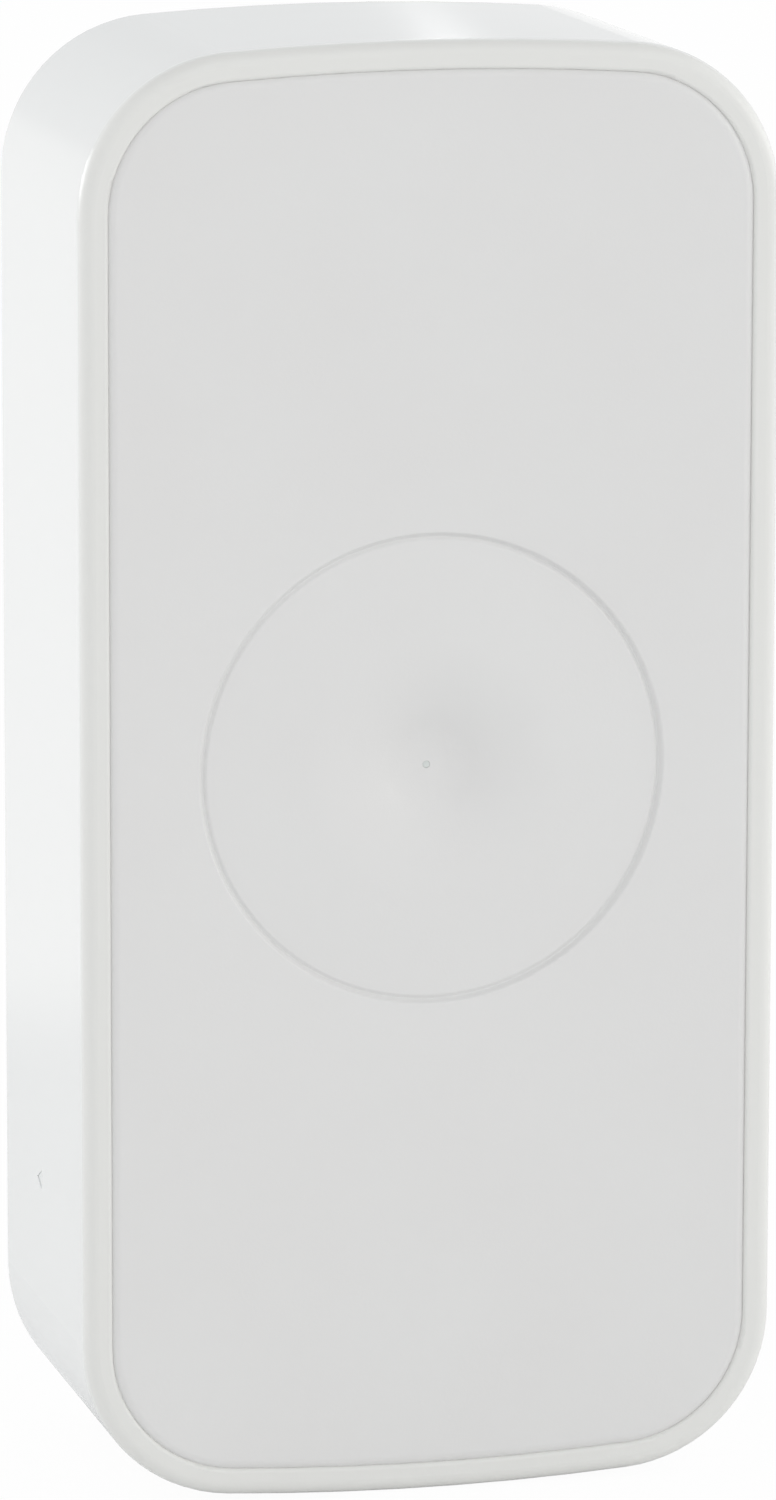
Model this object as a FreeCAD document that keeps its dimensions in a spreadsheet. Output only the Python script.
import FreeCAD, Part
import math
import os
import Sketcher
from FreeCAD import Placement, Rotation, Vector

# Door and window sensor, in millimetres
# +Z runs up the long side, the front looks along -Y, and the back lies on the wall at y = 0
# A depth is a distance in front of the back face, so a piece at depth d lies at y = -d

SIZES = [
    # The case
    ("corner_radius", 7.4, "corners of the case, seen from the front"),
    ("end_crown", 1.0, "how far the bowed ends stand out in their middle"),
    ("rim_width", 1.34, "rim around the front panel"),
    ("ledge_width", 0.5, "ledge behind the panel's edge"),
    ("back_wall", 1.6, "thickness of the back wall"),
    ("front_round", 0.7, "rounding of the outer front edge"),
    ("rim_round", 0.2, "rounding of the rim's inner edge"),
    ("back_round", 0.4, "rounding of the outer back edge"),
    # The front panel
    ("panel_thickness", 1.5, "front panel"),
    ("panel_gap", 0.06, "parting gap around the front panel"),
    ("panel_round", 0.25, "rounding of the panel's edge"),
    ("seat_gap", 0.02, "between the panel and the ledge"),
    ("ring_radius", 10.83, "middle of the moulded ring"),
    ("ring_width", 0.5, "groove that makes the ring"),
    ("ring_depth", 0.15, "groove that makes the ring"),
    ("dish_radius", 6.2, "edge of the dish"),
    ("dish_depth", 1.25, "bottom of the dish behind the panel's face"),
    ("dish_up", 0.38, "ring and dish above the panel's middle"),
    ("bowl_radius", 5.5, "hollow curve at the bottom of the dish"),
    ("dish_wall", 1.0, "thickness of the dish"),
    ("light_hole", 0.17, "radius of the hole in the bottom of the dish"),
    ("peg_radius", 0.75, "panel's pegs"),
    ("peg_length", 5.0, "panel's pegs behind the panel"),
    ("peg_clearance", 0.05, "around each peg in its socket"),
    ("peg_across", 9.5, "pegs from the middle, sideways"),
    ("peg_from_end", 4.5, "pegs from the ends of the case"),
    # Room inside the case around the battery holder
    ("side_room", 2.06, "between the holder and the case's side walls"),
    ("head_room", 4.66, "between the holder and the case's upper end wall"),
    ("foot_room", 9.66, "between the holder and the case's lower end wall"),
    ("front_room", 1.2, "between the cells and the front panel"),
    # Posts, bosses and cuts of the case
    ("post_wall", 0.85, "wall of the post around each peg's socket"),
    ("post_drop", 0.5, "top of a post behind the panel"),
    ("socket_spare", 0.4, "socket beyond the peg's end"),
    ("boss_height", 1.0, "bosses that carry the board"),
    ("boss_radius", 1.4, "bosses that carry the board"),
    ("rest_inset", 2.0, "plain bosses from the board's long sides"),
    ("rest_from_shoulder", 5.0, "plain bosses from the ends of the board's wide part"),
    ("wall_hole", 1.7, "radius of the holes for the wall screws"),
    ("wall_hole_pitch", 36.0, "between the wall screws"),
    ("wall_hole_sink", 0.9, "countersink of the wall screw holes"),
    ("mark_size", 0.95, "alignment mark on the left side"),
    ("mark_cut", 0.05, "how deep the mark is sunk"),
    ("mark_behind", 10.1, "mark behind the front face"),
    ("mark_below", 20.4, "mark below the middle"),
    ("pry_width", 5.0, "slot that lets a tool lift the panel"),
    ("pry_height", 0.8, "slot that lets a tool lift the panel"),
    ("pad_width", 22.0, "foam pads"),
    ("pad_height", 11.0, "foam pads"),
    ("pad_thickness", 0.5, "foam pads"),
    ("pad_pitch", 15.0, "between the pads' middles"),
    ("pad_gap", 0.1, "around each pad in its recess"),
    # The circuit board and what stands on it
    ("board_thickness", 1.0, "circuit board"),
    ("board_gap", 0.4, "between the board and the case wall"),
    ("board_shoulder", 7.0, "ends of the board's wide part from the ends of the case"),
    ("tongue_half_width", 7.2, "narrow ends of the board"),
    ("tongue_gap", 0.7, "between the board's ends and the case wall"),
    ("board_wall_hole", 3.5, "radius of the board's openings over the wall screws"),
    ("led_width", 1.6, "status lamp"),
    ("led_length", 0.8, "status lamp"),
    ("led_height", 0.6, "status lamp"),
    ("shield_width", 8.0, "radio shield"),
    ("shield_length", 9.0, "radio shield"),
    ("shield_height", 0.9, "radio shield"),
    ("chip_width", 5.0, "microcontroller"),
    ("chip_height", 0.8, "microcontroller"),
    ("crystal_width", 3.2, "crystal"),
    ("crystal_length", 2.5, "crystal"),
    ("crystal_height", 0.7, "crystal"),
    ("antenna_width", 5.0, "chip antenna"),
    ("antenna_length", 1.5, "chip antenna"),
    ("antenna_height", 0.8, "chip antenna"),
    ("parts_up", 7.0, "middle of the chips above the board's middle"),
    ("capacitor_width", 1.6, "capacitors"),
    ("capacitor_height", 0.8, "capacitors"),
    ("resistor_width", 1.0, "resistors"),
    ("resistor_height", 0.4, "resistors"),
    ("small_pitch", 2.6, "between neighbouring small parts"),
    # The reset switch
    ("switch_width", 4.2, "reset switch"),
    ("switch_height", 1.6, "reset switch"),
    ("switch_floor", 0.6, "floor of the switch under its plunger"),
    ("switch_across", 3.4, "reset switch from the middle, sideways"),
    ("switch_from_end", 6.6, "reset switch from the lower end of the case"),
    ("plunger_radius", 1.05, "plunger of the reset switch"),
    ("plunger_clearance", 0.05, "around the plunger"),
    ("plunger_travel", 0.25, "plunger's stroke"),
    ("plunger_top", 8.5, "front end of the plunger, as a depth"),
    # Cells and their contacts
    ("cell_radius", 5.25, "cells"),
    ("cell_length", 44.5, "cells, with the nub"),
    ("nub_radius", 1.9, "nub of a cell"),
    ("nub_length", 1.0, "nub of a cell"),
    ("cell_round", 0.5, "rounding at a cell's ends"),
    ("cell_gap", 1.2, "between the cells and the board"),
    ("spring_length", 2.5, "contact springs"),
    ("spring_wire", 0.45, "wire of the contact springs"),
    ("spring_wide", 3.2, "contact springs at the plate, to the wire's middle"),
    ("spring_narrow", 2.0, "contact springs at the cell, to the wire's middle"),
    ("spring_gap", 0.03, "between a spring and what it meets"),
    ("contact_thickness", 0.3, "contact plates"),
    ("contact_width", 8.8, "contact plates"),
    ("contact_rise", 4.0, "contact plates in front of the cells' axes"),
    # Battery holder
    ("holder_end", 1.2, "end walls of the holder"),
    ("holder_side", 0.6, "side walls of the holder"),
    ("holder_gap", 0.15, "around the cells in the holder"),
    ("holder_rise", 1.5, "side walls and spine behind the cells' axes"),
    ("spine_width", 0.8, "spine between the cells"),
    ("saddle_width", 2.0, "cross bars under the cells"),
    ("saddle_rise", 3.2, "cross bars in front of the board"),
    ("saddle_pitch", 24.0, "between the cross bars"),
    ("tube_wall", 0.4, "guide tube of the light pipe"),
    ("lug_width", 4.0, "screw lugs"),
    ("lug_height", 1.4, "screw lugs"),
    ("lug_across", 4.3, "screws from the middle, sideways"),
    ("lug_from_end", 4.8, "screws from the ends of the case"),
    ("screw_shank", 0.7, "radius of the screws' shanks"),
    ("screw_head", 1.4, "radius of the screws' heads"),
    ("screw_head_height", 0.9, "screws' heads"),
    ("screw_slot", 0.45, "cross cut in the screws' heads"),
    ("screw_play", 0.1, "around the shanks in the lugs and the board"),
    ("screw_bite", 0.7, "shanks beyond the front of the back wall"),
    ("thread_clearance", 0.03, "around the shanks in the bosses"),
    # Light pipe
    ("pipe_radius", 0.75, "light pipe"),
    ("pipe_clearance", 0.05, "around the light pipe"),
    ("pipe_gap", 0.1, "between the light pipe and the lamp"),
    ("pipe_drop", 0.1, "light pipe's tip behind the dish"),
    ("pipe_shoulder", 0.3, "light pipe's shoulder behind the dish"),
    # Magnetic switch
    ("glass_radius", 0.8, "glass of the magnetic switch"),
    ("glass_length", 8.0, "glass of the magnetic switch"),
    ("glass_wall_gap", 0.25, "between the glass and the case wall"),
    ("lead_radius", 0.25, "leads of the magnetic switch"),
    ("lead_reach", 1.3, "leads from the glass to their bends"),
]

doc = FreeCAD.newDocument("door_window_sensor")
sheet = doc.addObject("Spreadsheet::Sheet", "sheet")
for row, (alias, size, meaning) in enumerate(SIZES, start=1):
    sheet.set(f"A{row}", meaning)
    sheet.set(f"B{row}", str(size))
    sheet.setAlias(f"B{row}", alias)
doc.recompute()

# Counts, tolerances and margins
SPRING_TURNS = 2.5
QUARTERS_PER_TURN = 4
TOUCH = 1e-4
CUT_MARGIN = 0.5
CAPACITORS_PER_ROW = 2
RESISTORS_PER_ROW = 3

NODES = {}


def number(expression):
    """The value in millimetres of an expression on the sheet."""
    return float(sheet.evalExpression(str(expression)))


def keep(thing, label):
    """Keep a finished sub-part under its own name."""
    thing.Label = label
    NODES[label] = thing
    return thing


# The case is as large as the cells, their holder and the room around it need
cavity_inset = "(sheet.rim_width + sheet.ledge_width)"
tube_radius = "(sheet.pipe_radius + sheet.pipe_clearance + sheet.tube_wall)"
cell_across = f"(sheet.cell_radius + sheet.holder_gap + {tube_radius})"
holder_half_width = f"({cell_across} + sheet.cell_radius + sheet.holder_gap + sheet.holder_side)"
half_width = f"({holder_half_width} + sheet.side_room + {cavity_inset})"
bay_length = "(sheet.cell_length + sheet.spring_length)"
holder_length = f"({bay_length} + 2 * sheet.contact_thickness + 2 * sheet.holder_end)"
half_height = f"(({holder_length} + sheet.head_room + sheet.foot_room) / 2 + {cavity_inset})"
bay_up = "((sheet.foot_room - sheet.head_room) / 2)"
board_back = "(sheet.back_wall + sheet.boss_height)"
board_front = f"({board_back} + sheet.board_thickness)"
cell_axis = f"({board_front} + sheet.cell_gap + sheet.cell_radius)"
panel_back = f"({cell_axis} + sheet.cell_radius + sheet.front_room)"
case_depth = f"({panel_back} + sheet.panel_thickness)"

# Outline of the case: corner arcs between straight sides and bowed ends
end_radius = f"(({half_width}^2 + sheet.end_crown^2) / (2 * sheet.end_crown))"
corner_x = f"({half_width} - sheet.corner_radius)"
corner_reach = f"({end_radius} - sheet.corner_radius)"
corner_rise = f"sqrt({corner_reach}^2 - {corner_x}^2)"
corner_z = f"({half_height} - {end_radius} + {corner_rise})"
panel_inset = "(sheet.rim_width + sheet.panel_gap)"
ledge_depth = f"({panel_back} - sheet.seat_gap)"
inner_half_width = f"({half_width} - {cavity_inset})"
inner_half_height = f"({half_height} - {cavity_inset})"
board_half_width = f"({inner_half_width} - sheet.board_gap)"
board_half_height = f"({half_height} - sheet.board_shoulder)"
bay_bottom = f"({bay_up} - {bay_length} / 2)"
bay_top = f"({bay_up} + {bay_length} / 2)"
peg_up = f"({half_height} - sheet.peg_from_end)"
lug_up = f"({half_height} - sheet.lug_from_end)"
post_top = f"({panel_back} - sheet.post_drop)"
socket_radius = "(sheet.peg_radius + sheet.peg_clearance)"
post_radius = f"({socket_radius} + sheet.post_wall)"
socket_bottom = f"({panel_back} - sheet.peg_length - sheet.socket_spare)"
dish_sum = "((sheet.dish_radius^2 + sheet.dish_depth^2) / (2 * sheet.dish_depth))"
flare_radius = f"({dish_sum} - sheet.bowl_radius)"
pad_recess_width = "(sheet.pad_width + 2 * sheet.pad_gap)"
pad_recess_height = "(sheet.pad_height + 2 * sheet.pad_gap)"


# Outline of the case from the front

def outline_inset(x, z):
    """Distance of a point inside the case's outline: the nearest side, end arc or corner arc decides."""
    x, z = abs(x), abs(z)
    centre_x, centre_z = number(corner_x), number(corner_z)
    arc_centre = number(f"{half_height} - {end_radius}")
    if z <= centre_z:
        return number(half_width) - x
    if x * (centre_z - arc_centre) <= centre_x * (z - arc_centre):
        return number(end_radius) - math.hypot(x, z - arc_centre)
    return number("sheet.corner_radius") - math.hypot(x - centre_x, z - centre_z)


def edge_names(shape, depth, inset):
    """Names of the edges that run round the case at one depth and one inset."""
    names = []
    for index, edge in enumerate(shape.Edges, start=1):
        middle = edge.valueAt((edge.FirstParameter + edge.LastParameter) / 2)
        points = [middle] + [vertex.Point for vertex in edge.Vertexes]
        level = all(abs(point.y + number(depth)) < TOUCH for point in points)
        if level and abs(outline_inset(middle.x, middle.z) - number(inset)) < TOUCH:
            names.append(f"Edge{index}")
    return names


def outline_vertices(inset):
    """The eight joints between sides, corners and ends, anticlockwise from the right side's foot."""
    radius = f"(sheet.corner_radius - {inset})"
    side = f"({half_width} - {inset})"
    joint_x = f"({corner_x} + {radius} * {corner_x} / {corner_reach})"
    joint_z = f"({corner_z} + {radius} * {corner_rise} / {corner_reach})"
    return [
        (side, f"-{corner_z}"),
        (side, corner_z),
        (joint_x, joint_z),
        (f"-{joint_x}", joint_z),
        (f"-{side}", corner_z),
        (f"-{side}", f"-{corner_z}"),
        (f"-{joint_x}", f"-{joint_z}"),
        (joint_x, f"-{joint_z}"),
    ]


def outline_arcs(inset):
    """Radius of each arc of the outline, by the joint it starts at."""
    corner = f"(sheet.corner_radius - {inset})"
    end = f"({end_radius} - {inset})"
    return {1: corner, 2: end, 3: corner, 4: None, 5: corner, 6: end, 7: corner}


# Helpers for bodies made from sketches

def new_body(label):
    body = doc.addObject("PartDesign::Body", f"{label}_body")
    return keep(body, label)


def new_sketch(body, name, role, offset="0"):
    """An empty sketch on one of the body's own planes, moved along the plane's normal."""
    plane = next(item for item in body.Origin.OriginFeatures if item.Role == role)
    sketch = body.newObject("Sketcher::SketchObject", name)
    sketch.AttachmentSupport = [(plane, "")]
    sketch.MapMode = "FlatFace"
    sketch.setExpression("AttachmentOffset.Base.z", offset)
    return sketch


def fix(sketch, kind, *references, size):
    """Add a constraint and tie its value to the sheet."""
    index = sketch.addConstraint(Sketcher.Constraint(kind, *references, number(size)))
    sketch.setExpression(f"Constraints[{index}]", str(size))


def relate(sketch, kind, *references):
    sketch.addConstraint(Sketcher.Constraint(kind, *references))


def draw_loop(sketch, vertices, arcs=None, hollow=()):
    """A closed loop through vertices. An arc bulges to the right of its run, or to the left if hollow."""
    arcs = arcs or {}
    points = [Vector(number(x), number(y), 0) for x, y in vertices]
    first = sketch.GeometryCount
    count = len(points)
    for index, start in enumerate(points):
        end = points[(index + 1) % count]
        if arcs.get(index):
            side = -1.0 if index in hollow else 1.0
            sketch.addGeometry(short_arc(start, end, number(arcs[index]), side), False)
        else:
            sketch.addGeometry(Part.LineSegment(start, end), False)
    starts = []
    ends = []
    for index, start in enumerate(points):
        forward = not arcs.get(index) or index not in hollow
        starts.append(1 if forward else 2)
        ends.append(2 if forward else 1)
    for index in range(count):
        after = (index + 1) % count
        relate(sketch, "Coincident", first + index, ends[index], first + after, starts[after])
    for index, (x, y) in enumerate(vertices):
        fix(sketch, "DistanceX", -1, 1, first + index, starts[index], size=x)
        fix(sketch, "DistanceY", -1, 1, first + index, starts[index], size=y)
    for index, radius in arcs.items():
        if radius:
            fix(sketch, "Radius", first + index, size=radius)


def short_arc(start, end, radius, side):
    """The arc under a half circle from start to end that bulges to the right (side 1) or left (-1)."""
    chord = end - start
    right = Vector(chord.y, -chord.x, 0).normalize() * side
    rise = radius - math.sqrt(radius**2 - (chord.Length / 2) ** 2)
    middle = (start + end) / 2 + right * rise
    return Part.Arc(start, middle, end)


def draw_circle(sketch, x, y, radius):
    centre = Vector(number(x), number(y), 0)
    index = sketch.addGeometry(Part.Circle(centre, Vector(0, 0, 1), number(radius)))
    fix(sketch, "DistanceX", -1, 1, index, 3, size=x)
    fix(sketch, "DistanceY", -1, 1, index, 3, size=y)
    fix(sketch, "Radius", index, size=radius)


def draw_rectangle(sketch, left, right, bottom, top):
    draw_loop(sketch, [(left, bottom), (right, bottom), (right, top), (left, top)])


def extrude(body, kind, name, sketch, length, backwards=False):
    """Pad or pocket a sketch, and see that the volume changes the way it should."""
    before = body.Shape.Volume if body.Tip else 0.0
    feature = body.newObject(f"PartDesign::{kind}", name)
    feature.Profile = sketch
    feature.Reversed = backwards
    feature.setExpression("Length", length)
    doc.recompute()
    grew = body.Shape.Volume > before
    if grew != (kind == "Pad") or body.Shape.Volume == before:
        raise RuntimeError(f"{name} changed nothing")
    return feature


def round_edges(body, name, depth, inset, radius):
    base = body.Tip
    names = edge_names(base.Shape, depth, inset)
    feature = body.newObject("PartDesign::Fillet", name)
    feature.Base = (base, names)
    feature.setExpression("Radius", radius)
    doc.recompute()
    return feature


def both_signs(across, up):
    """The four places that mirror one another about the middle."""
    return [(f"{a}{across}", f"{b}{up}") for a in ("", "-") for b in ("", "-")]


# Helpers for pieces made from plain solids

def block(name, left, right, near, far, bottom, top):
    """A box between two x values, two depths and two z values."""
    solid = doc.addObject("Part::Box", name)
    solid.setExpression("Length", f"({right}) - ({left})")
    solid.setExpression("Width", f"({far}) - ({near})")
    solid.setExpression("Height", f"({top}) - ({bottom})")
    solid.setExpression("Placement.Base.x", left)
    solid.setExpression("Placement.Base.y", f"-({far})")
    solid.setExpression("Placement.Base.z", bottom)
    return solid


def slab(name, x, z, width, length, near, height):
    """A box of one width and length, centred on x and z, standing on a depth."""
    return block(
        name, f"({x}) - ({width}) / 2", f"({x}) + ({width}) / 2", near, f"({near}) + ({height})",
        f"({z}) - ({length}) / 2", f"({z}) + ({length}) / 2",
    )


def round_bar(name, radius, x, z, near, far):
    """A cylinder along the depth."""
    solid = doc.addObject("Part::Cylinder", name)
    solid.Placement.Rotation = Rotation(Vector(1, 0, 0), 90)
    solid.setExpression("Radius", radius)
    solid.setExpression("Height", f"({far}) - ({near})")
    solid.setExpression("Placement.Base.x", x)
    solid.setExpression("Placement.Base.y", f"-({near})")
    solid.setExpression("Placement.Base.z", z)
    return solid


def upright_bar(name, radius, x, depth, bottom, top):
    """A cylinder along the long side."""
    solid = doc.addObject("Part::Cylinder", name)
    solid.setExpression("Radius", radius)
    solid.setExpression("Height", f"({top}) - ({bottom})")
    solid.setExpression("Placement.Base.x", x)
    solid.setExpression("Placement.Base.y", f"-({depth})")
    solid.setExpression("Placement.Base.z", bottom)
    return solid


def join(name, pieces):
    solid = doc.addObject("Part::MultiFuse", name)
    solid.Shapes = pieces
    solid.Refine = True
    return solid


def cut(name, base, tools):
    solid = doc.addObject("Part::Cut", name)
    solid.Base = base
    solid.Tool = tools[0] if len(tools) == 1 else join(f"{name}_tools", tools)
    return solid


def group(name, pieces):
    """Separate solids that share one node."""
    solid = doc.addObject("Part::Compound", name)
    solid.Links = pieces
    return solid


# Case tray: side walls, rim and back wall in one moulding

def make_case_tray():
    body = new_body("case_tray")
    sketch = new_sketch(body, "tray_outline", "XZ_Plane")
    draw_loop(sketch, outline_vertices("0"), outline_arcs("0"))
    extrude(body, "Pad", "tray_block", sketch, case_depth)
    round_edges(body, "tray_front_round", case_depth, "0", "sheet.front_round")
    round_edges(body, "tray_back_round", "0", "0", "sheet.back_round")

    sketch = new_sketch(body, "opening_outline", "XZ_Plane", case_depth)
    draw_loop(sketch, outline_vertices("sheet.rim_width"), outline_arcs("sheet.rim_width"))
    extrude(body, "Pocket", "panel_opening", sketch, f"{case_depth} - {ledge_depth}")
    round_edges(body, "tray_rim_round", case_depth, "sheet.rim_width", "sheet.rim_round")

    sketch = new_sketch(body, "cavity_outline", "XZ_Plane", ledge_depth)
    draw_loop(sketch, outline_vertices(cavity_inset), outline_arcs(cavity_inset))
    extrude(body, "Pocket", "cavity", sketch, f"{ledge_depth} - sheet.back_wall")

    sketch = new_sketch(body, "post_circles", "XZ_Plane", "sheet.back_wall")
    for x, z in both_signs("sheet.peg_across", peg_up):
        draw_circle(sketch, x, z, post_radius)
    extrude(body, "Pad", "posts", sketch, f"{post_top} - sheet.back_wall")
    sketch = new_sketch(body, "socket_circles", "XZ_Plane", post_top)
    for x, z in both_signs("sheet.peg_across", peg_up):
        draw_circle(sketch, x, z, socket_radius)
    extrude(body, "Pocket", "sockets", sketch, f"{post_top} - {socket_bottom}")

    sketch = new_sketch(body, "boss_circles", "XZ_Plane", "sheet.back_wall")
    rest_across = f"({board_half_width} - sheet.rest_inset)"
    rest_up = f"({board_half_height} - sheet.rest_from_shoulder)"
    for x, z in screw_places() + both_signs(rest_across, rest_up):
        draw_circle(sketch, x, z, "sheet.boss_radius")
    extrude(body, "Pad", "bosses", sketch, "sheet.boss_height")
    sketch = new_sketch(body, "pilot_circles", "XZ_Plane", board_back)
    for x, z in screw_places():
        draw_circle(sketch, x, z, "sheet.screw_shank + sheet.thread_clearance")
    pilot_depth = "sheet.boss_height + sheet.screw_bite + sheet.screw_play"
    extrude(body, "Pocket", "pilot_holes", sketch, pilot_depth)

    sketch = new_sketch(body, "wall_hole_circles", "XZ_Plane", "sheet.back_wall")
    for sign in ("", "-"):
        draw_circle(sketch, "0", f"{sign}sheet.wall_hole_pitch / 2", "sheet.wall_hole")
    extrude(body, "Pocket", "wall_holes", sketch, f"sheet.back_wall + {CUT_MARGIN}")
    sink_wall_holes(body)

    sketch = new_sketch(body, "pad_outlines", "XZ_Plane")
    for sign in ("", "-"):
        middle = f"{sign}sheet.pad_pitch / 2"
        draw_rectangle(
            sketch, f"-{pad_recess_width} / 2", f"{pad_recess_width} / 2",
            f"{middle} - {pad_recess_height} / 2", f"{middle} + {pad_recess_height} / 2",
        )
    extrude(body, "Pocket", "pad_recesses", sketch, "sheet.pad_thickness", backwards=True)

    sketch = new_sketch(body, "mark_outline", "YZ_Plane", f"-{half_width}")
    mark_y = f"(sheet.mark_behind - {case_depth})"
    mark_low = "(-sheet.mark_below - sheet.mark_size / 2)"
    mark_high = "(-sheet.mark_below + sheet.mark_size / 2)"
    draw_loop(sketch, [
        (f"{mark_y} + sheet.mark_size / 2", "-sheet.mark_below"),
        (f"{mark_y} - sheet.mark_size / 2", mark_high),
        (f"{mark_y} - sheet.mark_size / 2", mark_low),
    ])
    extrude(body, "Pocket", "alignment_mark", sketch, "sheet.mark_cut", backwards=True)

    sketch = new_sketch(body, "pry_outline", "XY_Plane", f"-{half_height}")
    draw_rectangle(
        sketch, "-sheet.pry_width / 2", "sheet.pry_width / 2",
        f"-{ledge_depth}", f"-{ledge_depth} + sheet.pry_height",
    )
    extrude(body, "Pocket", "pry_slot", sketch, f"{cavity_inset} + sheet.pry_height", backwards=True)


def screw_places():
    """The two holder screws, both left of the middle, one at each end."""
    return [("-sheet.lug_across", lug_up), ("-sheet.lug_across", f"-{lug_up}")]


def sink_wall_holes(body):
    """Countersinks on the inside of the two wall screw holes."""
    base = body.Tip
    names = []
    for index, edge in enumerate(base.Shape.Edges, start=1):
        round_edge = edge.Curve.TypeId == "Part::GeomCircle"
        if not round_edge or abs(edge.Curve.Radius - number("sheet.wall_hole")) > TOUCH:
            continue
        centre = edge.Curve.Center
        if abs(centre.y + number("sheet.back_wall")) < TOUCH and abs(centre.x) < TOUCH:
            names.append(f"Edge{index}")
    feature = body.newObject("PartDesign::Chamfer", "wall_hole_sinks")
    feature.Base = (base, names)
    feature.setExpression("Size", "sheet.wall_hole_sink")
    doc.recompute()


# Front panel: a flush plate with the ring, the dish and four pegs

def make_front_panel():
    body = new_body("front_panel")
    sketch = new_sketch(body, "panel_outline", "XZ_Plane", panel_back)
    draw_loop(sketch, outline_vertices(panel_inset), outline_arcs(panel_inset))
    extrude(body, "Pad", "panel_plate", sketch, "sheet.panel_thickness")
    round_edges(body, "panel_edge_round", case_depth, panel_inset, "sheet.panel_round")

    # The dish is a flare that turns into a bowl where the two curves run the same way
    face = f"(-{case_depth})"
    low = f"({face} + sheet.dish_depth)"
    turn = f"(sheet.dish_radius / {dish_sum})"
    drop = f"(sheet.dish_depth / {dish_sum})"
    bowl_outer = "(sheet.bowl_radius + sheet.dish_wall)"
    sketch = new_sketch(body, "dish_back_profile", "XY_Plane", "sheet.dish_up")
    draw_loop(sketch, [
        ("0", f"{face} + sheet.panel_thickness / 2"),
        ("sheet.dish_radius", f"{face} + sheet.panel_thickness / 2"),
        ("sheet.dish_radius", f"{face} + sheet.dish_wall"),
        (f"{bowl_outer} * {turn}", f"{low} + sheet.dish_wall - {bowl_outer} * {drop}"),
        ("0", f"{low} + sheet.dish_wall"),
    ], {2: f"({flare_radius} - sheet.dish_wall)", 3: bowl_outer}, hollow=(2,))
    revolve(body, "Revolution", "dish_back", sketch)

    sketch = new_sketch(body, "dish_profile", "XY_Plane", "sheet.dish_up")
    draw_loop(sketch, [
        ("0", f"{face} - {CUT_MARGIN}"),
        ("sheet.dish_radius", f"{face} - {CUT_MARGIN}"),
        ("sheet.dish_radius", face),
        (f"sheet.bowl_radius * {turn}", f"{low} - sheet.bowl_radius * {drop}"),
        ("0", low),
    ], {2: flare_radius, 3: "sheet.bowl_radius"}, hollow=(2,))
    revolve(body, "Groove", "dish", sketch)

    groove_arc = "((sheet.ring_width^2 / 4 + sheet.ring_depth^2) / (2 * sheet.ring_depth))"
    groove_inner = "(sheet.ring_radius - sheet.ring_width / 2)"
    groove_outer = "(sheet.ring_radius + sheet.ring_width / 2)"
    sketch = new_sketch(body, "ring_profile", "XY_Plane", "sheet.dish_up")
    draw_loop(sketch, [
        (groove_inner, f"{face} - {CUT_MARGIN}"),
        (groove_outer, f"{face} - {CUT_MARGIN}"),
        (groove_outer, face),
        (groove_inner, face),
    ], {2: groove_arc})
    revolve(body, "Groove", "ring", sketch)

    sketch = new_sketch(body, "light_hole_circle", "XZ_Plane", case_depth)
    draw_circle(sketch, "0", "sheet.dish_up", "sheet.light_hole")
    extrude(body, "Pocket", "light_hole", sketch, "sheet.dish_depth + 2 * sheet.dish_wall")

    sketch = new_sketch(body, "peg_circles", "XZ_Plane", panel_back)
    for x, z in both_signs("sheet.peg_across", peg_up):
        draw_circle(sketch, x, z, "sheet.peg_radius")
    extrude(body, "Pad", "pegs", sketch, "sheet.peg_length", backwards=True)


def revolve(body, kind, name, sketch):
    """Turn a profile all round the sketch's upright axis."""
    before = body.Shape.Volume if body.Tip else 0.0
    feature = body.newObject(f"PartDesign::{kind}", name)
    feature.Profile = sketch
    feature.ReferenceAxis = (sketch, ["V_Axis"])
    doc.recompute()
    grew = body.Shape.Volume > before
    if grew != (kind == "Revolution") or body.Shape.Volume == before:
        raise RuntimeError(f"{name} changed nothing")
    return feature


# Foam pads in the recesses of the back

def make_adhesive_pads():
    pads = [
        slab(f"pad_{sign}", "0", f"{sign}sheet.pad_pitch / 2", "sheet.pad_width", "sheet.pad_height",
             "0", "sheet.pad_thickness")
        for sign in ("", "-")
    ]
    keep(group("pads", pads), "adhesive_pads")


# Circuit board: a wide middle and a narrow tongue at each end

def make_circuit_board():
    body = new_body("circuit_board")
    sketch = new_sketch(body, "board_outline", "XZ_Plane", board_back)
    side = board_half_width
    end = f"({inner_half_height} - sheet.tongue_gap)"
    tongue = "sheet.tongue_half_width"
    wide = board_half_height
    draw_loop(sketch, [
        (side, f"-{wide}"), (side, wide), (tongue, wide), (tongue, end),
        (f"-{tongue}", end), (f"-{tongue}", wide), (f"-{side}", wide), (f"-{side}", f"-{wide}"),
        (f"-{tongue}", f"-{wide}"), (f"-{tongue}", f"-{end}"), (tongue, f"-{end}"), (tongue, f"-{wide}"),
    ])
    extrude(body, "Pad", "board_plate", sketch, "sheet.board_thickness")
    sketch = new_sketch(body, "board_holes", "XZ_Plane", board_front)
    for sign in ("", "-"):
        draw_circle(sketch, "0", f"{sign}sheet.wall_hole_pitch / 2", "sheet.board_wall_hole")
    for x, z in screw_places():
        draw_circle(sketch, x, z, "sheet.screw_shank + sheet.screw_play")
    extrude(body, "Pocket", "board_openings", sketch, f"sheet.board_thickness + {CUT_MARGIN}")


# Parts soldered to the board

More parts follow.
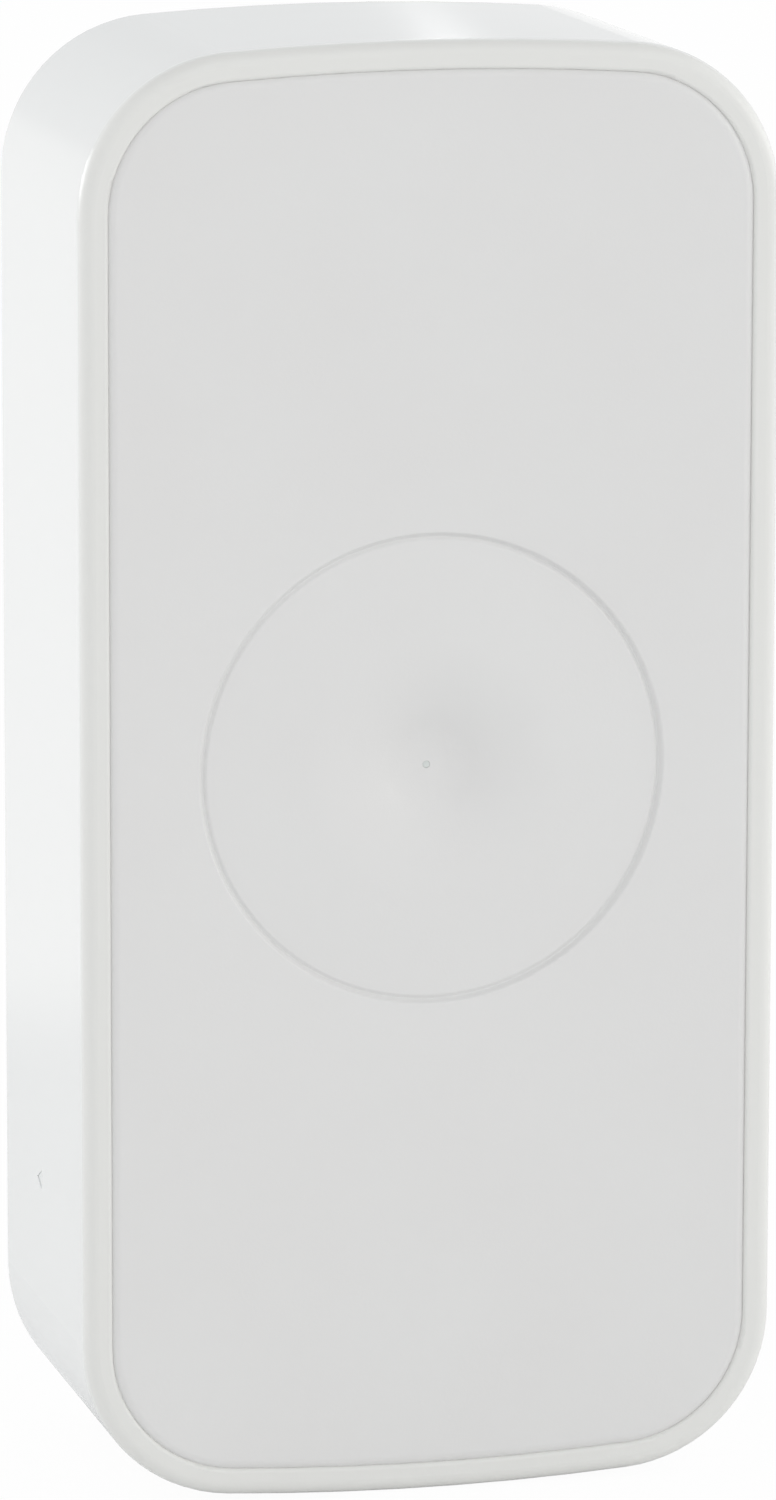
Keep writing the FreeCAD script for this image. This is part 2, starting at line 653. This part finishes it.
def make_board_parts():
    keep(slab("led", "0", "sheet.dish_up", "sheet.led_width", "sheet.led_length",
              board_front, "sheet.led_height"), "status_led")
    keep(slab("shield", f"-{cell_across}", "sheet.parts_up", "sheet.shield_width", "sheet.shield_length",
              board_front, "sheet.shield_height"), "radio_shield")
    keep(slab("chip", cell_across, "sheet.parts_up", "sheet.chip_width", "sheet.chip_width",
              board_front, "sheet.chip_height"), "microcontroller")
    keep(slab("quartz", cell_across, "-sheet.crystal_length / 2", "sheet.crystal_width",
              "sheet.crystal_length", board_front, "sheet.crystal_height"), "crystal")
    keep(slab("antenna", "sheet.tongue_half_width / 2", lug_up, "sheet.antenna_width",
              "sheet.antenna_length", board_front, "sheet.antenna_height"), "chip_antenna")
    capacitors = []
    resistors = []
    for side, sign in (("left", "-"), ("right", "")):
        for step in range(CAPACITORS_PER_ROW):
            x = f"{sign}{cell_across} + ({step} - 0.5) * sheet.small_pitch"
            capacitors.append(slab(f"capacitor_{side}_{step}", x, "-sheet.small_pitch * 2",
                                   "sheet.capacitor_width", "sheet.capacitor_width / 2",
                                   board_front, "sheet.capacitor_height"))
        for step in range(RESISTORS_PER_ROW):
            x = f"{sign}{cell_across} + ({step} - 1) * sheet.small_pitch"
            resistors.append(slab(f"resistor_{side}_{step}", x, "-sheet.small_pitch * 2.6",
                                  "sheet.resistor_width", "sheet.resistor_width / 2",
                                  board_front, "sheet.resistor_height"))
    keep(group("capacitor_group", capacitors), "capacitors")
    keep(group("resistor_group", resistors), "resistors")


# Reset switch and its plunger

def make_reset_switch():
    x = "sheet.switch_across"
    z = f"-({half_height} - sheet.switch_from_end)"
    top = f"({board_front} + sheet.switch_height)"
    floor = f"({board_front} + sheet.switch_floor)"
    case = slab("switch_case", x, z, "sheet.switch_width", "sheet.switch_width",
                board_front, "sheet.switch_height")
    well = round_bar("switch_well", "sheet.plunger_radius + sheet.plunger_clearance", x, z,
                     floor, f"{top} + {CUT_MARGIN}")
    keep(cut("switch_cut", case, [well]), "reset_switch")
    start = f"{floor} + sheet.plunger_travel + sheet.plunger_clearance"
    keep(round_bar("plunger", "sheet.plunger_radius", x, z, start, "sheet.plunger_top"), "reset_button")


# Cells, side by side and opposite ways up

def make_cells():
    places = (
        ("left", f"-{cell_across}", f"{bay_bottom} + sheet.spring_length", Rotation()),
        ("right", cell_across, f"{bay_top} - sheet.spring_length", Rotation(Vector(1, 0, 0), 180)),
    )
    shoulder = "(sheet.cell_length - sheet.nub_length)"
    flat = "(sheet.cell_radius - sheet.cell_round)"
    for side, x, foot, turned in places:
        body = new_body(f"battery_{side}")
        sketch = new_sketch(body, f"cell_{side}_profile", "XZ_Plane")
        draw_loop(sketch, [
            ("0", "0"),
            (flat, "0"),
            ("sheet.cell_radius", "sheet.cell_round"),
            ("sheet.cell_radius", f"{shoulder} - sheet.cell_round"),
            (flat, shoulder),
            ("sheet.nub_radius", shoulder),
            ("sheet.nub_radius", "sheet.cell_length"),
            ("0", "sheet.cell_length"),
        ], {1: "sheet.cell_round", 3: "sheet.cell_round"})
        revolve(body, "Revolution", f"cell_{side}_turned", sketch)
        body.Placement.Rotation = turned
        body.setExpression("Placement.Base.x", x)
        body.setExpression("Placement.Base.y", f"-{cell_axis}")
        body.setExpression("Placement.Base.z", foot)


# Contact plates: one at each cell's foot and a bridge across the top

def make_contacts():
    far = f"({cell_axis} + sheet.contact_rise)"
    plates = (("negative_terminal", "-"), ("positive_terminal", ""))
    for label, sign in plates:
        x = f"{sign}{cell_across}"
        plate = block(f"{label}_plate", f"{x} - sheet.contact_width / 2", f"{x} + sheet.contact_width / 2",
                      board_front, far, f"{bay_bottom} - sheet.contact_thickness", bay_bottom)
        keep(plate, label)
    reach = f"({cell_across} + sheet.contact_width / 2)"
    keep(block("bridge_plate", f"-{reach}", reach, board_front, far,
               bay_top, f"{bay_top} + sheet.contact_thickness"), "bridge_contact")


# Contact springs: cones of wire wound as pairs of arcs, a quarter turn at a time

def cone_point(turn, turns, wide, narrow, rise):
    """A point on a cone's winding, and its direction: the radius and the height change evenly."""
    angle = 2 * math.pi * turn
    part = turn / turns
    radius = wide + (narrow - wide) * part
    point = Vector(radius * math.cos(angle), radius * math.sin(angle), rise * part)
    growth = (narrow - wide) / (2 * math.pi * turns)
    climb = rise / (2 * math.pi * turns)
    direction = Vector(
        growth * math.cos(angle) - radius * math.sin(angle),
        growth * math.sin(angle) + radius * math.cos(angle),
        climb,
    )
    return point, direction.normalize()


def half_arc(start, corner, end):
    """An arc from start to end whose end tangents meet at corner, both the same distance away."""
    middle = (start + end) / 2
    half = (end - start).Length / 2
    turn = math.atan2((corner - middle).Length, half)
    sagitta = half * math.tan(turn / 2)
    top = middle + (corner - middle).normalize() * sagitta
    return Part.Arc(start, top, end).toShape()


def arc_pair(start, start_way, end, end_way):
    """Two arcs that leave and arrive in the given directions and run on smoothly where they meet."""
    span = end - start
    along = span.dot(start_way + end_way)
    spare = 2 * (1 - start_way.dot(end_way))
    reach = (-along + math.sqrt(along**2 + spare * span.dot(span))) / spare
    first = start + start_way * reach
    second = end - end_way * reach
    joint = (first + second) / 2
    return [half_arc(start, first, joint), half_arc(joint, second, end)]


def wound_wire(turns, wide, narrow, rise, wire_radius):
    """One unbroken tube along the winding, and its least distance to its own next turn."""
    steps = round(turns * QUARTERS_PER_TURN)
    stations = [cone_point(i / QUARTERS_PER_TURN, turns, wide, narrow, rise) for i in range(steps + 1)]
    edges = []
    for (start, start_way), (end, end_way) in zip(stations, stations[1:]):
        edges += arc_pair(start, start_way, end, end_way)
    path = Part.Wire(edges)
    start, way = stations[0]
    section = Part.Wire(Part.Circle(start, way, wire_radius).toShape())
    shell = Part.BRepOffsetAPI.MakePipeShell(path)
    shell.add(section)
    shell.build()
    shell.makeSolid()
    return shell.shape(), least_gap(edges, turns, wire_radius)


def least_gap(edges, turns, wire_radius):
    """Least clear distance between points on the winding that lie over half a turn apart."""
    points = []
    for edge in edges:
        points += edge.discretize(9)[:-1]
    apart = round(len(points) / turns / 2)
    pairs = ((a, b) for i, a in enumerate(points) for b in points[i + apart:])
    return min((a - b).Length for a, b in pairs) - 2 * wire_radius


def make_springs():
    wire_radius = number("sheet.spring_wire") / 2
    margin = wire_radius + number("sheet.spring_gap")
    rise = number("sheet.spring_length") - 2 * margin
    shape, gap = wound_wire(SPRING_TURNS, number("sheet.spring_wide"), number("sheet.spring_narrow"),
                            rise, wire_radius)
    print(f"contact springs: least gap between turns {gap:.2f} mm")
    places = (
        ("spring_left", f"-{cell_across}", f"{bay_bottom} + {margin}", Rotation()),
        ("spring_right", cell_across, f"{bay_top} - {margin}", Rotation(Vector(1, 0, 0), 180)),
    )
    for label, x, z, turned in places:
        feature = doc.addObject("Part::Feature", f"{label}_wire")
        feature.Shape = shape
        feature.Placement = Placement(Vector(number(x), -number(cell_axis), number(z)), turned)
        keep(feature, label)


# Battery holder: one moulding with end walls, side walls, spine, cross bars, tube and lugs

def make_battery_holder():
    outer = holder_half_width
    inner = f"({outer} - sheet.holder_side)"
    rim = f"({cell_axis} - sheet.holder_rise)"
    wall_top = f"({cell_axis} + sheet.contact_rise)"
    low = f"({bay_bottom} - sheet.contact_thickness)"
    high = f"({bay_top} + sheet.contact_thickness)"
    low_end = f"({low} - sheet.holder_end)"
    high_end = f"({high} + sheet.holder_end)"
    pieces = [
        block("holder_foot_wall", f"-{outer}", outer, board_front, wall_top, low_end, low),
        block("holder_head_wall", f"-{outer}", outer, board_front, wall_top, high, high_end),
        block("holder_left_wall", f"-{outer}", f"-{inner}", board_front, rim, low_end, high_end),
        block("holder_right_wall", inner, outer, board_front, rim, low_end, high_end),
        block("holder_spine", "-sheet.spine_width / 2", "sheet.spine_width / 2",
              f"{board_front} + sheet.led_height + sheet.pipe_gap", rim,
              "-sheet.wall_hole_pitch / 2 + sheet.board_wall_hole",
              "sheet.wall_hole_pitch / 2 - sheet.board_wall_hole"),
        round_bar("holder_tube", tube_radius, "0", "sheet.dish_up",
                  f"{board_front} + sheet.led_height + sheet.pipe_gap", cell_axis),
        round_bar("holder_foot_lug", "sheet.lug_width / 2", "-sheet.lug_across", f"-{lug_up}",
                  board_front, f"{board_front} + sheet.lug_height"),
        round_bar("holder_head_lug", "sheet.lug_width / 2", "-sheet.lug_across", lug_up,
                  board_front, f"{board_front} + sheet.lug_height"),
        block("holder_foot_arm", "-sheet.lug_across - sheet.lug_width / 2",
              "-sheet.lug_across + sheet.lug_width / 2", board_front,
              f"{board_front} + sheet.lug_height", f"-{lug_up}", low),
        block("holder_head_arm", "-sheet.lug_across - sheet.lug_width / 2",
              "-sheet.lug_across + sheet.lug_width / 2", board_front,
              f"{board_front} + sheet.lug_height", high, lug_up),
    ]
    for sign in ("", "-"):
        middle = f"({bay_up} {'-' if sign else '+'} sheet.saddle_pitch / 2)"
        pieces.append(block(f"holder_saddle{sign}", f"-{outer}", outer, board_front,
                            f"{board_front} + sheet.saddle_rise",
                            f"{middle} - sheet.saddle_width / 2", f"{middle} + sheet.saddle_width / 2"))
    tools = [
        round_bar("pipe_bore", "sheet.pipe_radius + sheet.pipe_clearance", "0", "sheet.dish_up",
                  board_front, f"{cell_axis} + {CUT_MARGIN}"),
    ]
    for x, z in screw_places():
        tools.append(round_bar("lug_hole", "sheet.screw_shank + sheet.screw_play", x, z,
                               f"{board_front} - {CUT_MARGIN}",
                               f"{board_front} + sheet.lug_height + {CUT_MARGIN}"))
    for sign in ("", "-"):
        tools.append(upright_bar("cell_room", "sheet.cell_radius + sheet.holder_gap",
                                 f"{sign}{cell_across}", cell_axis, low, high))
    keep(cut("holder_cut", join("holder_solid", pieces), tools), "battery_holder")


# Two screws through the holder's lugs and the board into the case

def make_holder_screws():
    screws = []
    under = f"({board_front} + sheet.lug_height)"
    top = f"({under} + sheet.screw_head_height)"
    for index, (x, z) in enumerate(screw_places()):
        shank = round_bar(f"shank_{index}", "sheet.screw_shank", x, z,
                          "sheet.back_wall - sheet.screw_bite", under)
        head = round_bar(f"head_{index}", "sheet.screw_head", x, z, under, top)
        recess = [
            slab(f"recess_{index}_{turn}", x, z, width, length,
                 f"{top} - sheet.screw_head_height / 2", "sheet.screw_head_height")
            for turn, (width, length) in enumerate(
                (("sheet.screw_head", "sheet.screw_slot"), ("sheet.screw_slot", "sheet.screw_head")))
        ]
        screws.append(cut(f"screw_{index}", join(f"blank_{index}", [shank, head]), recess))
    keep(group("screw_group", screws), "holder_screws")


# Light pipe from the lamp to the bottom of the dish

def make_light_pipe():
    start = f"({board_front} + sheet.led_height + sheet.pipe_gap)"
    dish_bottom = f"({case_depth} - sheet.dish_depth)"
    shoulder = f"({dish_bottom} - sheet.dish_wall - sheet.pipe_shoulder)"
    rod = round_bar("pipe_rod", "sheet.pipe_radius", "0", "sheet.dish_up", start, shoulder)
    tip = round_bar("pipe_tip", "sheet.light_hole - sheet.pipe_clearance", "0", "sheet.dish_up",
                    f"{shoulder} - {CUT_MARGIN}", f"{dish_bottom} - sheet.pipe_drop")
    keep(join("pipe_solid", [rod, tip]), "light_pipe")


# Magnetic switch beside the mark: a sealed glass and two bent leads

def make_magnetic_switch():
    x = f"(-{inner_half_width} + sheet.glass_wall_gap + sheet.glass_radius)"
    depth = f"({case_depth} - sheet.mark_behind)"
    low = "(-sheet.mark_below - sheet.glass_length / 2)"
    high = "(-sheet.mark_below + sheet.glass_length / 2)"
    glass = upright_bar("glass_solid", "sheet.glass_radius", x, depth, low, high)
    keep(glass, "reed_glass")
    leads = []
    for name, start, way in (("low", low, "-"), ("high", high, "+")):
        bend = f"({start} {way} sheet.lead_reach)"
        bottom, top = (bend, start) if way == "-" else (start, bend)
        run = upright_bar(f"lead_{name}_run", "sheet.lead_radius", x, depth, bottom, top)
        leg = round_bar(f"lead_{name}_leg", "sheet.lead_radius", x, bend, board_front, depth)
        ball = doc.addObject("Part::Sphere", f"lead_{name}_bend")
        ball.setExpression("Radius", "sheet.lead_radius")
        ball.setExpression("Placement.Base.x", x)
        ball.setExpression("Placement.Base.y", f"-{depth}")
        ball.setExpression("Placement.Base.z", bend)
        leads.append(join(f"lead_{name}", [run, leg, ball]))
    keep(group("lead_group", leads), "reed_leads")


make_case_tray()
make_front_panel()
make_adhesive_pads()
make_circuit_board()
make_board_parts()
make_reset_switch()
make_cells()
make_contacts()
make_springs()
make_battery_holder()
make_holder_screws()
make_light_pipe()
make_magnetic_switch()
doc.recompute()

# Every object has to be sound before anything is written
for thing in doc.Objects:
    if "Invalid" in thing.State or "Error" in thing.State:
        raise RuntimeError(f"{thing.Name} failed: {thing.State}")
for label, thing in NODES.items():
    if thing.Shape.isNull() or not thing.Shape.isValid():
        raise RuntimeError(f"{label} has no valid shape")

os.makedirs("parts", exist_ok=True)
for label, thing in NODES.items():
    thing.Shape.exportStep(f"parts/{label}.step")
    box = thing.Shape.BoundBox
    print(f"{label}: {len(thing.Shape.Solids)} solids, {thing.Shape.Volume:.1f} mm3, "
          f"x {box.XMin:.2f} to {box.XMax:.2f}, y {box.YMin:.2f} to {box.YMax:.2f}, "
          f"z {box.ZMin:.2f} to {box.ZMax:.2f}")
